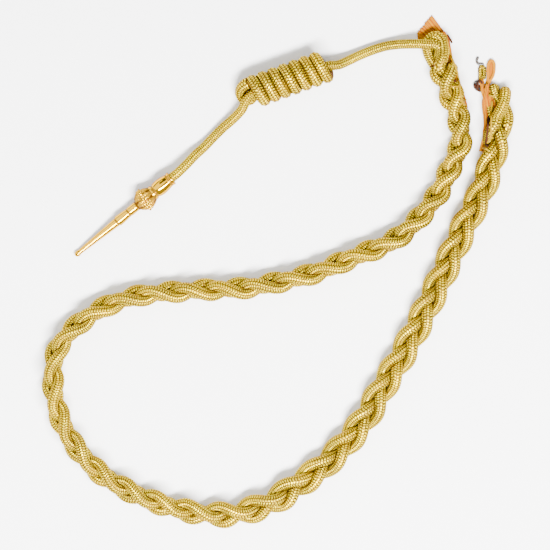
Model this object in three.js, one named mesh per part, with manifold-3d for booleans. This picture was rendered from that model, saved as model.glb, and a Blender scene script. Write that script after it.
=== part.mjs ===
// Aiguillette: a loop of gold cord plaited in three, with a single drop cord, a barrel knot
// and a cast metal tag, lying on a surface. Millimetres, +Z up, seen from above.
import * as THREE from 'three';
import { mergeVertices } from 'three/addons/utils/BufferGeometryUtils.js';
import Module from 'manifold-3d';

const wasm = await Module();
wasm.setup();

// Gold cord, and the air left between pieces that touch
const cordDiameter = 6.2;
const cordSides = 8;
const clearance = 0.3;

// Plait: its cords are a little thinner, with their pitch where they cross; the lay is one
// cord's way back to its place
const plaitCordDiameter = 5.6;
const plaitCordPitch = 6.1;
const plaitLay = 61.3;
const plaitStartPhase = 274;
const swingPerPitch = 0.885;
const dipPerPitch = 0.68;
const swingFullness = 0.12;
const dipFullness = 0.05;

// Barrel knot: one cord wound round the drop cord
const knotTurns = 7;
const knotPitch = 7.05;
const knotRadius = 7.1;
const knotCordDiameter = 6.6;
const knotHeading = 20;
const knotCentre = new THREE.Vector3(7.6, 123.6, 10.4);
const stepsPerTurn = 10;

// Cast metal tag, from its tip to its mouth
const tagLength = 79;
const tagTipRadius = 1.9;
const tagSpikeRadius = 2.9;
const tagBarrelRadius = 3.4;
const tagNeckRadius = 2.7;
const tagKnobRadius = 7.1;
const tagCollarRadius = 4.8;
const tagCupRadius = 5.1;
const tagMouthRadius = 4.6;
const tagSocketDepth = 9;
const tagSides = 16;
const leafCount = 6;
const leafRelief = 1.4;
const tagHeading = 38.7;
const tagMouth = new THREE.Vector2(-65.7, 61.5);

// Orange backing sewn along the plait's two ends, and its thread loop
const backingThickness = 2;
const backingHeight = 7;
const backingTuck = 0.5;
const fanThickness = 1.2;
const threadDiameter = 2;

// Gold stub and wire hooks
const stubDiameter = 2.1;
const hookDiameter = 1.1;
const smallSides = 6;

// Colours
const gold = 0xd4b44d;
const polishedGold = 0xe2c277;
const orange = 0xe59a3c;
const darkMetal = 0x6a6a64;

const cordRadius = cordDiameter / 2;
const plaitCordRadius = plaitCordDiameter / 2;
const swing = swingPerPitch * plaitCordPitch;
const dip = dipPerPitch * plaitCordPitch;

// Middle line of the plait seen from above, from the drop cord's end round to the free end
const plaitRoute = [
  [106.1, 132.7], [108, 125.1], [110.8, 116.8], [113.7, 109.2], [116.2, 100.3], [117.8, 90.8],
  [117.2, 81.3], [113.7, 73], [109.2, 62.9], [103.9, 52.1], [97.8, 43.8], [91.1, 35.6],
  [83.2, 27.9], [73.7, 21], [62.2, 15.9], [50.2, 11.4], [35.6, 5.1], [19.1, -0.6], [0, -5.1],
  [-18.4, -8.3], [-43.2, -9.5], [-63.5, -10.8], [-85.7, -13.3], [-103.5, -18.4], [-116.8, -25.4],
  [-130.2, -36.2], [-138.4, -47.6], [-141.3, -62.2], [-140.3, -78.1], [-135.3, -94.6],
  [-125.7, -110.5], [-111.1, -125.7], [-92.1, -137.2], [-73, -144.8], [-52.1, -149.9],
  [-29.8, -151.1], [-13.3, -147.3], [0, -141.6], [11.3, -134], [29.1, -122.5], [44.3, -107.7],
  [58.3, -89.9], [68.5, -72.1], [79.3, -54.3], [90.1, -34.7], [99.6, -16.2], [107.8, 0.9],
  [115.5, 17.4], [123.5, 34.8], [131.5, 51.5], [137.1, 68.1], [141, 85.4], [142.8, 101.3],
  [142.2, 112.7],
];

// How the plait lies along its length: its roll in degrees, 0 flat and 90 on its edge, and
// its swing, dip and lay as shares of the named ones
const plaitSections = [
  { along: 0, roll: 60, swing: 1.24, dip: 1.08, lay: 0.8 },
  { along: 0.04, roll: 75, swing: 1.12, dip: 0.98, lay: 0.8 },
  { along: 0.12, roll: 75, swing: 1.12, dip: 0.96, lay: 0.88 },
  { along: 0.2, roll: 75, swing: 1.15, dip: 0.92, lay: 1.06 },
  { along: 0.5, roll: 75, swing: 1.15, dip: 0.92, lay: 1.06 },
  { along: 0.62, roll: 20, swing: 1.04, dip: 0.98, lay: 1 },
  { along: 0.7, roll: 0, swing: 1, dip: 1, lay: 1 },
  { along: 0.93, roll: 0, swing: 1, dip: 1.04, lay: 1 },
  { along: 1, roll: 0, swing: 0.95, dip: 1.22, lay: 0.9 },
];

// The plait's middle cord runs on past the drop cord's end as a loop, drawn from its end
const endLoopRoute = [
  [101.3, 134.8, 3], [98.6, 139, 3.1], [97.2, 144.2, 3.9], [98.3, 149.2, 5.4],
  [102.3, 151.3, 7.1], [105.7, 147.6, 9], [106.5, 142.6, 11], [106.3, 137.6, 13.4],
];

// Drop cord, from the end loop through the knot to the tag
const dropCordRoute = [
  [101.9, 145.9, 11.4], [97.8, 146.1, 11.5], [91.5, 146.5, 10.2], [84.5, 146.6, 7.4],
  [77.5, 146.4, 4.7], [70, 145.3, 3.4], [62, 142.9, 3.2], [54, 139.7, 3.7], [47, 136.3, 5.4],
  [40, 133.2, 8.4], [33.8, 132.6, 9.9], [28, 130.9, 10.1], [18.6, 127.5, 10.1],
  [9.2, 124.1, 10.1], [-0.2, 120.7, 10.1], [-9.6, 117.3, 10.1], [-16.2, 114.9, 10.1],
  [-20.8, 112, 10], [-26.3, 106, 8.6], [-31.3, 99.6, 5.6], [-36.6, 93.2, 3.7],
  [-42, 87, 3.2], [-47, 80.8, 4.2], [-51.8, 75.2, 6.4], [-56.7, 69.8, 8.5],
];

// Free end: each cord leaves the plait at its own share of the length and bends down
const freeEnd = {
  a: {
    from: 0.98,
    route: [[148, 99.5, 6.4], [146.8, 104.5, 5], [143.2, 110.3, 3.4], [140, 115.6, 3.1],
      [139, 119.2, 3.1]],
  },
  b: {
    from: 0.984,
    route: [[137.2, 103.6, 3], [137, 108, 3.2]],
  },
  c: {
    from: 0.98,
    route: [[141, 100.6, 11.8], [143.8, 106, 11.8], [145.8, 111.8, 10.3], [146.2, 115.6, 7.6],
      [146.1, 117.4, 4], [146, 117.5, 1.5]],
  },
};

// The knot's own end, tucked under the drop cord: along the knot, to its left, and up
const bightRoute = [
  [-26.1, 6.3, 11.4], [-28.9, 6.1, 10.2], [-31.7, 4.7, 7.4], [-33.3, 1.8, 4.4],
  [-32.2, -1.8, 3.15], [-28.5, -2.6, 3.1], [-26.6, -1.5, 3.1],
];

// Backing: the flat fan's corners, the band's way up to the plait, and the thread loop
const fanCorners = [
  [99.7, 165.7], [90.2, 154.3], [90.8, 150.5], [99.7, 148.4], [106.4, 152.2], [107.6, 155],
];
const upperBandRoute = [[106.6, 154.4], [109.8, 147.6], [110.9, 139.4]];
const threadRoute = [
  [134.2, 117.2], [134.9, 121.5], [135.4, 126], [135.3, 131], [136, 134.9], [137.6, 136.4],
  [139.2, 134.8], [139.4, 130], [138.3, 126], [136.4, 123.2], [135, 120.6],
];

// Stub and hooks
const stubRoute = [
  [130.5, 124.2], [130.5, 130.6], [130.8, 131.8], [131.7, 132.35], [132.6, 131.8],
  [132.9, 130.6], [132.9, 124.2],
];
const upperHookRoute = [[129.4, 138.9], [128.4, 136.7], [129, 134.6], [131, 134.1], [133, 134.2]];
const lowerHookRoute = [[130.4, 123.3], [127.6, 122.6], [126.9, 120], [128.8, 117.8], [131, 118.6]];

const section = (diameter, sides) => {
  const shape = new THREE.Shape();
  for (let i = 0; i < sides; i++) {
    const angle = (2 * Math.PI * (i + 0.5)) / sides;
    const x = (diameter / 2) * Math.cos(angle);
    const y = (diameter / 2) * Math.sin(angle);
    if (i === 0) shape.moveTo(x, y);
    else shape.lineTo(x, y);
  }
  shape.closePath();
  return shape;
};

const curveThrough = (points) => {
  const places = points.map(([x, y, z = 0]) => new THREE.Vector3(x, y, z));
  return new THREE.CatmullRomCurve3(places, false, 'centripetal');
};

// A tube along a list of points, which one smooth curve joins
const tubeAlong = (points, diameter, sides, steps) => {
  const path = curveThrough(points);
  path.arcLengthDivisions = 20 * steps;
  return new THREE.ExtrudeGeometry(section(diameter, sides), {
    steps,
    bevelEnabled: false,
    extrudePath: path,
  });
};

const atHeight = (route, height) => route.map(([x, y]) => [x, y, height]);

const solidOf = (geometry) => {
  const bare = geometry.clone();
  bare.deleteAttribute('normal');
  bare.deleteAttribute('uv');
  const merged = mergeVertices(bare, 1e-4);
  return new wasm.Manifold(
    new wasm.Mesh({
      numProp: 3,
      vertProperties: new Float32Array(merged.attributes.position.array),
      triVerts: new Uint32Array(merged.index.array),
    }),
  );
};

const geometryOf = (solid) => {
  const mesh = solid.getMesh();
  const geometry = new THREE.BufferGeometry();
  geometry.setAttribute('position', new THREE.BufferAttribute(mesh.vertProperties, 3));
  geometry.setIndex(new THREE.BufferAttribute(mesh.triVerts, 1));
  return geometry;
};

const laid = new THREE.Group();

const addPiece = (name, geometry, color, roughness, metalness) => {
  const material = new THREE.MeshStandardMaterial({ color, roughness, metalness });
  const mesh = new THREE.Mesh(geometry, material);
  mesh.name = name;
  laid.add(mesh);
};

// Middle line, and the plait's measures at a share of its length
const plaitLine = curveThrough(plaitRoute);
plaitLine.arcLengthDivisions = 2000;
const plaitLength = plaitLine.getLength();

const plaitAt = (along, column) => {
  const row = plaitSections.findIndex((entry) => entry.along >= along);
  if (row <= 0) return plaitSections[0][column];
  const from = plaitSections[row - 1];
  const to = plaitSections[row];
  const share = (along - from.along) / (to.along - from.along);
  return THREE.MathUtils.lerp(from[column], to[column], share);
};

// How far the plait's twist has turned at each thousandth of its length
const phaseRows = 1000;
const phaseTable = [THREE.MathUtils.degToRad(plaitStartPhase)];
for (let i = 0; i < phaseRows; i++) {
  const lay = plaitLay * plaitAt((i + 0.5) / phaseRows, 'lay');
  phaseTable.push(phaseTable[i] + (2 * Math.PI * plaitLength) / (phaseRows * lay));
}

const alongAtPhase = (phase) => {
  const row = phaseTable.findIndex((entry) => entry >= phase);
  if (row === 0) return 0;
  if (row < 0) return 1;
  const share = (phase - phaseTable[row - 1]) / (phaseTable[row] - phaseTable[row - 1]);
  return (row - 1 + share) / phaseRows;
};

const plaitOffset = (phase, along) => {
  const roll = THREE.MathUtils.degToRad(plaitAt(along, 'roll'));
  const sideWave = (Math.sin(phase) + swingFullness * Math.sin(3 * phase)) / (1 - swingFullness);
  const depthWave = Math.sin(2 * phase) + dipFullness * Math.sin(4 * phase);
  const side = swing * plaitAt(along, 'swing') * sideWave;
  const height = -dip * plaitAt(along, 'dip') * depthWave;
  return {
    left: side * Math.cos(roll) - height * Math.sin(roll),
    up: side * Math.sin(roll) + height * Math.cos(roll),
  };
};

const plaitReach = (along, way, sign) => {
  let reach = 0;
  for (let i = 0; i < 72; i++) {
    reach = Math.max(reach, sign * plaitOffset((2 * Math.PI * i) / 72, along)[way]);
  }
  return reach + plaitCordRadius;
};

// A place beside the plait's middle line, to its left and above the surface
const besidePlait = (along, left, up) => {
  const point = plaitLine.getPointAt(along);
  const tangent = plaitLine.getTangentAt(along);
  return [point.x - tangent.y * left, point.y + tangent.x * left, up];
};

// One cord of the plait, stepped by its phase: short steps at its bends, long ones between
const bendSteps = [15, 45, 90, 135, 165].map(THREE.MathUtils.degToRad);

class PlaitStrand extends THREE.Curve {
  constructor(strand, leadIn, leadOut) {
    super();
    this.lag = THREE.MathUtils.degToRad(120 * strand);
    const firstPhase = phaseTable[0] + this.lag;
    const lastPhase = phaseTable[Math.round(phaseRows * leadOut.from)] + this.lag;
    const phases = [firstPhase];
    for (let half = Math.floor(firstPhase / Math.PI); half * Math.PI < lastPhase; half++) {
      for (const step of bendSteps) {
        const phase = half * Math.PI + step;
        if (phase > firstPhase + 0.2 && phase < lastPhase - 0.2) phases.push(phase);
      }
    }
    phases.push(lastPhase);
    const plaited = phases.map((phase) => this.pointAtPhase(phase));
    const points = [...leadIn, ...plaited, ...leadOut.route];
    this.steps = points.length - 1;
    this.smooth = curveThrough(points);
  }

  pointAtPhase(phase) {
    const along = alongAtPhase(phase - this.lag);
    const offset = plaitOffset(phase, along);
    return besidePlait(along, offset.left, plaitReach(along, 'up', -1) + offset.up);
  }

  getPoint(t, target) {
    return this.smooth.getPoint(t, target);
  }

  getPointAt(u, target) {
    return this.smooth.getPoint(u, target);
  }

  getTangentAt(u, target) {
    return this.smooth.getTangent(u, target);
  }
}

const addStrand = (name, strand, leadIn, leadOut) => {
  const path = new PlaitStrand(strand, leadIn, leadOut);
  const geometry = new THREE.ExtrudeGeometry(section(plaitCordDiameter, cordSides), {
    steps: path.steps,
    bevelEnabled: false,
    extrudePath: path,
  });
  addPiece(name, geometry, gold, 0.45, 0.6);
};

addStrand('plait_strand_a', 0, [], freeEnd.a);
addStrand('plait_strand_b', 1, [], freeEnd.b);
addStrand('plait_strand_c', 2, endLoopRoute, freeEnd.c);

// Metal tag: lathe profile from the tip to the mouth, then down into the socket. Places are
// shares of the tag's length.
const knobBodyRadius = tagKnobRadius - leafRelief;
const tagProfile = [
  { along: 0, radius: 0 },
  { along: 0.005, radius: 0.62 * tagTipRadius },
  { along: 0.024, radius: tagTipRadius },
  { along: 0.05, radius: 0.78 * tagTipRadius },
  { along: 0.43, radius: 0.96 * tagSpikeRadius },
  { along: 0.436, radius: 0.86 * tagSpikeRadius },
  { along: 0.443, radius: tagBarrelRadius },
  { along: 0.46, radius: tagBarrelRadius },
  { along: 0.552, radius: 1.05 * tagNeckRadius },
  { along: 0.558, radius: tagNeckRadius },
  { along: 0.566, radius: 1.12 * tagNeckRadius },
  { along: 0.635, radius: 1.12 * tagNeckRadius },
  { along: 0.665, radius: 0.75 * knobBodyRadius },
  { along: 0.71, radius: knobBodyRadius },
  { along: 0.765, radius: 0.97 * knobBodyRadius },
  { along: 0.797, radius: 0.78 * knobBodyRadius },
  { along: 0.803, radius: tagCollarRadius },
  { along: 0.82, radius: tagCollarRadius },
  { along: 0.826, radius: 0.86 * tagCollarRadius },
  { along: 0.833, radius: 0.86 * tagCollarRadius },
  { along: 0.862, radius: 0.97 * tagCupRadius },
  { along: 0.9, radius: tagCupRadius },
  { along: 0.965, radius: 0.94 * tagMouthRadius },
  { along: 0.985, radius: tagMouthRadius },
  { along: 1, radius: tagMouthRadius },
];
const socketRadius = cordRadius + clearance;
const tagOutline = tagProfile.map((row) => new THREE.Vector2(row.radius, row.along * tagLength));
tagOutline.push(new THREE.Vector2(socketRadius, tagLength));
tagOutline.push(new THREE.Vector2(socketRadius, tagLength - tagSocketDepth));
tagOutline.push(new THREE.Vector2(0, tagLength - tagSocketDepth));

// Raised leaves round the knob, in two rows, each a flattened bud set aslant
const leafRows = [
  { along: 0.7, lean: 0.2, turn: 0 },
  { along: 0.762, lean: -0.2, turn: 0.5 },
];
const leafSlant = 0.5;

const leafSolid = (row, index) => {
  const leaf = new THREE.OctahedronGeometry(1, 1);
  leaf.scale(leafRelief, 0.04 * tagLength, 0.46 * knobBodyRadius);
  const angle = (2 * Math.PI * (index + row.turn)) / leafCount;
  const place = new THREE.Object3D();
  place.rotation.set(0, -angle, 0);
  place.rotateX(leafSlant);
  place.rotateZ(row.lean);
  place.position.set(Math.cos(angle), 0, Math.sin(angle)).multiplyScalar(knobBodyRadius);
  place.position.y = row.along * tagLength;
  place.updateMatrix();
  leaf.applyMatrix4(place.matrix);
  return solidOf(leaf);
};

let tagSolid = solidOf(new THREE.LatheGeometry(tagOutline, tagSides));
for (const row of leafRows) {
  for (let index = 0; index < leafCount; index++) {
    tagSolid = tagSolid.add(leafSolid(row, index));
  }
}

// The tag rests on its tip and its knob, so that it rises to the mouth
const tipPlace = 0.024 * tagLength;
const knobPlace = 0.73 * tagLength;
const tagRise = Math.asin((tagKnobRadius - tagTipRadius) / (knobPlace - tipPlace));
const heading = THREE.MathUtils.degToRad(tagHeading);
const tagAxis = new THREE.Vector3(
  Math.cos(tagRise) * Math.cos(heading),
  Math.cos(tagRise) * Math.sin(heading),
  Math.sin(tagRise),
);
const tagRight = new THREE.Vector3(Math.sin(heading), -Math.cos(heading), 0);
const tagUp = new THREE.Vector3().crossVectors(tagRight, tagAxis);
const tagMouthHeight = tagTipRadius / Math.cos(tagRise) + (tagLength - tipPlace) * tagAxis.z;

// A place on the tag's axis, counted outwards from its mouth
const onTagAxis = (outwards) => [
  tagMouth.x + tagAxis.x * outwards,
  tagMouth.y + tagAxis.y * outwards,
  tagMouthHeight + tagAxis.z * outwards,
];
const tagPlace = new THREE.Matrix4().makeBasis(tagRight, tagAxis, tagUp);
tagPlace.setPosition(...onTagAxis(-tagLength));
const tagGeometry = geometryOf(tagSolid);
tagGeometry.applyMatrix4(tagPlace);
addPiece('metal_tag', tagGeometry, polishedGold, 0.15, 1);

// Drop cord: its end stops short of the socket's floor
const cordEnd = clearance - tagSocketDepth;
const dropCordLine = [...dropCordRoute, onTagAxis(4.5), onTagAxis(0), onTagAxis(cordEnd)];
addPiece('drop_cord', tubeAlong(dropCordLine, cordDiameter, cordSides, 46), gold, 0.45, 0.6);

// Barrel knot, wound round the drop cord from the surface up
const knotAngle = THREE.MathUtils.degToRad(knotHeading);
const inKnot = (along, left, up) => [
  knotCentre.x + Math.cos(knotAngle) * along - Math.sin(knotAngle) * left,
  knotCentre.y + Math.sin(knotAngle) * along + Math.cos(knotAngle) * left,
  up,
];

class KnotWinding extends THREE.Curve {
  getPoint(t, target = new THREE.Vector3()) {
    const turn = knotTurns * t - 0.25;
    const angle = 2 * Math.PI * turn;
    const along = knotPitch * (turn - 3);
    const left = knotRadius * Math.cos(angle);
    const up = knotCentre.z + knotRadius * Math.sin(angle);
    return target.set(...inKnot(along, left, up));
  }
}

const windingGeometry = new THREE.ExtrudeGeometry(section(knotCordDiameter, cordSides), {
  steps: knotTurns * stepsPerTurn,
  bevelEnabled: false,
  extrudePath: new KnotWinding(),
});
addPiece('knot_wraps', windingGeometry, gold, 0.45, 0.6);

const bightPlaces = bightRoute.map(([along, left, up]) => inKnot(along, left, up));
addPiece('knot_bight', tubeAlong(bightPlaces, cordDiameter, cordSides, 14), gold, 0.45, 0.6);

// A band on its edge: a route seen from above, widened to both sides and drawn up
const bandGeometry = (route, thickness, height, steps) => {
  const path = curveThrough(route);
  const edge = (side) =>
    Array.from({ length: steps + 1 }, (unused, i) => {
      const point = path.getPointAt(i / steps);
      const tangent = path.getTangentAt(i / steps);
      const shift = (side * thickness) / 2;
      return new THREE.Vector2(point.x - tangent.y * shift, point.y + tangent.x * shift);
    });
  const outline = [...edge(-1), ...edge(1).reverse()];
  return new THREE.ExtrudeGeometry(new THREE.Shape(outline), {
    depth: height,
    bevelEnabled: false,
  });
};

// A band's middle to the left of the plait, clear of its cords or tucked in between them
const bandBeside = (along, tuck) => {
  const reach = plaitReach(along, 'left', 1) + clearance + backingThickness / 2;
  return besidePlait(along, reach - tuck);
};

// Upper backing: the flat fan under the end loop, and the band up the plait's outer side
const upperShares = [0.006, 0.013, 0.02, 0.0285];
const upperBand = [
  ...upperBandRoute,
  ...upperShares.map((along) => bandBeside(along, backingTuck)),
];
const fanShape = new THREE.Shape(fanCorners.map(([x, y]) => new THREE.Vector2(x, y)));
const fan = new THREE.ExtrudeGeometry(fanShape, { depth: fanThickness, bevelEnabled: false });
const upperBacking = solidOf(fan).add(
  solidOf(bandGeometry(upperBand, backingThickness, backingHeight, 14)),
);
addPiece('backing_upper', geometryOf(upperBacking), orange, 0.8, 0);

// Right backing: the band beside the flat plait, and its thread loop
const rightShares = [0.958, 0.97, 0.984, 0.997];
const rightBand = [
  ...rightShares.map((along) => bandBeside(along, 0)),
  ...threadRoute.slice(0, 2),
];
const thread = tubeAlong(atHeight(threadRoute, 1.6), threadDiameter, smallSides, 22);
const rightBacking = solidOf(bandGeometry(rightBand, backingThickness, backingHeight, 12)).add(
  solidOf(thread),
);
addPiece('backing_right', geometryOf(rightBacking), orange, 0.8, 0);

// Gold stub and the two wire hooks
const stub = tubeAlong(atHeight(stubRoute, stubDiameter / 2), stubDiameter, smallSides, 12);
addPiece('gold_stub', stub, gold, 0.45, 0.6);
const hookAt = (route) => tubeAlong(atHeight(route, hookDiameter / 2), hookDiameter, smallSides, 9);
addPiece('wire_hook_upper', hookAt(upperHookRoute), darkMetal, 0.4, 0.9);
addPiece('wire_hook_lower', hookAt(lowerHookRoute), darkMetal, 0.4, 0.9);

// The whole is centred over the origin and stands on it
const part = new THREE.Group();
part.add(laid);
const extent = new THREE.Box3().setFromObject(laid);
const middle = extent.getCenter(new THREE.Vector3());
laid.position.set(-middle.x, -middle.y, -extent.min.z);

export default part;
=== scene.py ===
"""Aiguillette of plaited gold cord with a cast metal tag, drawn over its CAD frame.

Laid out as a Blender add-on and run as a script. Route tables are in millimetres, seen from
straight above with +Y up the picture; what is made of them is in metres in the frame's axes.
"""

import math

import bpy
import numpy as np
from bpy.props import FloatProperty, FloatVectorProperty, IntProperty, PointerProperty
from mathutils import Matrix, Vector
from mathutils.kdtree import KDTree


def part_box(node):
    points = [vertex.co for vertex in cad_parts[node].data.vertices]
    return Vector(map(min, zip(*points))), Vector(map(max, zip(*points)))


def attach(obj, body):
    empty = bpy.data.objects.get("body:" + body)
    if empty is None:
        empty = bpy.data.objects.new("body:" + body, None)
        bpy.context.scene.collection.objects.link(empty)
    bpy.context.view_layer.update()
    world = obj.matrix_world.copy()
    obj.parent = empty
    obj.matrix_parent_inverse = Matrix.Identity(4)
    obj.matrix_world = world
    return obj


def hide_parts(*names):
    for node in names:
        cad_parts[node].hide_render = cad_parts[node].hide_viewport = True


bl_info = {
    "name": "Aiguillette",
    "version": (1, 0, 0),
    "blender": (4, 5, 0),
    "location": "View3D > Sidebar > Aiguillette",
    "description": "Draws a plaited gold cord aiguillette over its CAD frame",
    "category": "Object",
}

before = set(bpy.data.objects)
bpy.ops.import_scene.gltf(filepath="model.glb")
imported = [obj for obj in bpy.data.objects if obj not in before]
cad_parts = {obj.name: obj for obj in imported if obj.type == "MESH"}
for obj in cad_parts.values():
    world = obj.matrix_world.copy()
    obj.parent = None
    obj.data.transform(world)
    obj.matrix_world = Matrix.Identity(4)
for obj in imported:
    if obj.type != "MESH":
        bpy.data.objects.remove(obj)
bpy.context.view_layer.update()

MM = 0.001

# The routes' own origin, the middle of the view, in the frame's axes: it is set by the fan's
# left and top edges
FAN_LEFT = 90.2
FAN_TOP = 165.7
fan_low, fan_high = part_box("backing_upper")
view_middle = np.array([fan_low.x - FAN_LEFT * MM, fan_high.y - FAN_TOP * MM, 0.0])

# Plait: the thickness of cord it is laid out for, the distance between cords, the length of
# one full turn and the angle it starts at, and how far its cords swing sideways and dip
PLAIT_CORD = 7.2
PLAIT_PITCH = 6.1
PLAIT_LAY = 61.3
PLAIT_START = 274
SWING = 0.885 * PLAIT_PITCH
DIP = 0.68 * PLAIT_PITCH
SWING_FULLNESS = -0.06
DIP_FULLNESS = 0.05

PLAIT_ROUTE = [
    (106.1, 132.7), (108, 125.1), (110.8, 116.8), (113.7, 109.2), (116.2, 100.3), (117.8, 90.8),
    (117.2, 81.3), (113.7, 73), (109.2, 62.9), (103.9, 52.1), (97.8, 43.8), (91.1, 35.6),
    (83.2, 27.9), (73.7, 21), (62.2, 15.9), (50.2, 11.4), (35.6, 5.1), (19.1, -0.6), (0, -5.1),
    (-18.4, -8.3), (-43.2, -9.5), (-63.5, -10.8), (-85.7, -13.3), (-103.5, -18.4), (-116.8, -25.4),
    (-130.2, -36.2), (-138.4, -47.6), (-141.3, -62.2), (-140.3, -78.1), (-135.3, -94.6),
    (-125.7, -110.5), (-111.1, -125.7), (-92.1, -137.2), (-73, -144.8), (-52.1, -149.9),
    (-29.8, -151.1), (-13.3, -147.3), (0, -141.6), (11.3, -134), (29.1, -122.5), (44.3, -107.7),
    (58.3, -89.9), (68.5, -72.1), (79.3, -54.3), (90.1, -34.7), (99.6, -16.2), (107.8, 0.9),
    (115.5, 17.4), (123.5, 34.8), (131.5, 51.5), (137.1, 68.1), (141, 85.4), (142.8, 101.3),
    (142.2, 112.7),
]

# Share of the length; roll in degrees, 0 flat and 90 on edge; swing, dip and lay as shares;
# and how far it lies to the left of its route
PLAIT_SECTIONS = np.array([
    (0, 60, 1.2, 1, 0.8, 0),
    (0.04, 75, 1.05, 0.8, 0.8, 0),
    (0.12, 75, 1.05, 0.73, 0.88, 0),
    (0.2, 75, 1.1, 0.71, 1.06, 0),
    (0.35, 75, 1.1, 0.67, 1.06, -0.2),
    (0.45, 75, 1.1, 0.71, 1.06, 0.7),
    (0.5, 75, 1.1, 0.73, 1.06, 0.3),
    (0.58, 70, 1.05, 0.78, 1.02, -0.3),
    (0.62, 52, 1.05, 0.88, 1, -0.9),
    (0.655, 30, 1.08, 0.92, 1, -1.4),
    (0.7, 5, 1.08, 0.94, 1, 0),
    (0.8, 0, 1.07, 0.96, 1, 0.5),
    (0.89, 0, 1.07, 0.96, 1, 1.2),
    (0.93, 0, 1.04, 1, 1, 0.8),
    (1, 0, 0.93, 1.2, 0.9, 0),
])
ROLL, SWING_SHARE, DIP_SHARE, LAY_SHARE, SHIFT = 1, 2, 3, 4, 5

END_LOOP = [
    (106.2, 130.4, 3.8), (101.9, 133.6, 3.5), (98.6, 139, 3.5), (97.2, 144.2, 3.9),
    (98.3, 149.2, 5.4),
    (102.3, 151.3, 7.1), (105.7, 147.6, 9), (106.5, 142.6, 11), (106.3, 137.6, 13.4),
]

# Each plait cord's way in, the share of the length at which it leaves, and its way out
STRANDS = [
    ("plait_strand_a", [], 0.98,
     [(148, 99.5, 6.4), (146.8, 104.5, 5), (143.2, 110.3, 3.4), (140, 115.6, 3.4),
      (138.4, 121.6, 3.4)]),
    ("plait_strand_b", [], 0.984, [(137.2, 103.6, 3.5), (137, 108, 3.5)]),
    ("plait_strand_c", END_LOOP, 0.98,
     [(141, 100.6, 11.8), (143.8, 106, 11.8), (145.8, 111.8, 10.3), (146.2, 115.6, 7.6),
      (146.1, 117.4, 4), (146, 117.5, 3.4)]),
]

DROP_CORD = [
    (102.9, 136.6, 6.4), (104.1, 140.6, 9.2), (103.9, 144.3, 11.2), (101.3, 146.1, 11.6),
    (97.8, 146.2, 11.5), (91.5, 146.5, 10.2), (84.5, 146.6, 7.4), (77.5, 146.4, 4.7),
    (70, 145.3, 3.4), (62, 142.9, 3.2), (54, 139.7, 3.7), (47, 136.3, 5.4), (40, 133.2, 8.6),
    (33.8, 132.6, 10.3), (28, 130.9, 10.5), (18.6, 127.5, 10.6), (9.2, 124.1, 10.6),
    (-0.2, 120.7, 10.6), (-9.6, 117.3, 10.6), (-14.2, 114.8, 10.6), (-18.3, 110.4, 10.2),
    (-21, 105, 7.9), (-26.6, 99.1, 5), (-33.3, 93.3, 3.6), (-39.8, 86.8, 3.2),
    (-45.2, 81.1, 4.2), (-50.8, 75.9, 6.4), (-56.3, 70, 8.5),
]

# Barrel knot, and its own end: along the knot, to its left, and up
KNOT_TURNS = 7
KNOT_START = 0.25
KNOT_PITCH = 7.05
KNOT_RADIUS = 7.1
KNOT_HEADING = math.radians(20)
KNOT_CENTRE = (7.6, 123.6, 10.95)
BIGHT = [
    (-20.4, 6.9, 11.2), (-23.6, 6.5, 11.4), (-26.2, 6.1, 10.2), (-28.8, 4.7, 7.6),
    (-30.3, 1.8, 4.8), (-29.3, -1.8, 3.9), (-26.4, -3.2, 3.9), (-23.8, -2, 3.9),
    (-20.6, -0.6, 4),
]

# Metal tag: its length, the radii of its tip and of its knob with and without leaves, the
# shares of its length at which it rests on them, and its socket for the cord
TAG_LENGTH = 79
TAG_SIDES = 168
TAG_TIP = 1.9
TIP_SHARE = 0.024
TAG_KNOB = 7.1
KNOB_SHARE = 0.73
KNOB_BODY = 5.7
TAG_HEADING = math.radians(38.7)
TAG_MOUTH = (-65.7, 61.5)
SOCKET_RADIUS = 3.4
SOCKET_DEPTH = 9

# The tag's profile: share of its length from the tip, and radius
TAG_PROFILE = [
    (0, 0.02), (0.002, 0.7), (0.009, 1.45), (0.024, 1.9), (0.038, 1.75), (0.05, 1.48),
    (0.24, 2.16), (0.43, 2.78), (0.436, 2.49), (0.443, 3.4), (0.46, 3.4), (0.552, 2.84),
    (0.558, 2.6), (0.566, 3.02), (0.635, 3.02), (0.65, 3.5), (0.665, 4.28), (0.685, 5.2),
    (0.71, KNOB_BODY), (0.765, 5.53), (0.785, 5), (0.797, 4.4), (0.803, 4.8), (0.82, 4.8),
    (0.826, 4.1), (0.833, 4.1), (0.84, 4.6), (0.862, 4.95), (0.88, 5.1), (0.9, 5.1),
    (0.94, 4.75), (0.965, 4.32), (0.982, 4.25), (0.992, 4.6), (1, 4.6),
]

# Shares of the tag's length: its grooves and their width, the knob and the stretch drawn finely
# round it, and where its two rings of leaves have their feet and tips
TAG_GROOVES = [0.437, 0.557, 0.645, 0.8, 0.83, 0.974]
GROOVE_WIDTH = 0.006
KNOB_ENDS = (0.645, 0.8)
FINE_ENDS = (0.64, 0.81)
LOWER_LEAVES = (0.655, 0.742)
UPPER_LEAVES = (0.8, 0.7)

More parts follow.
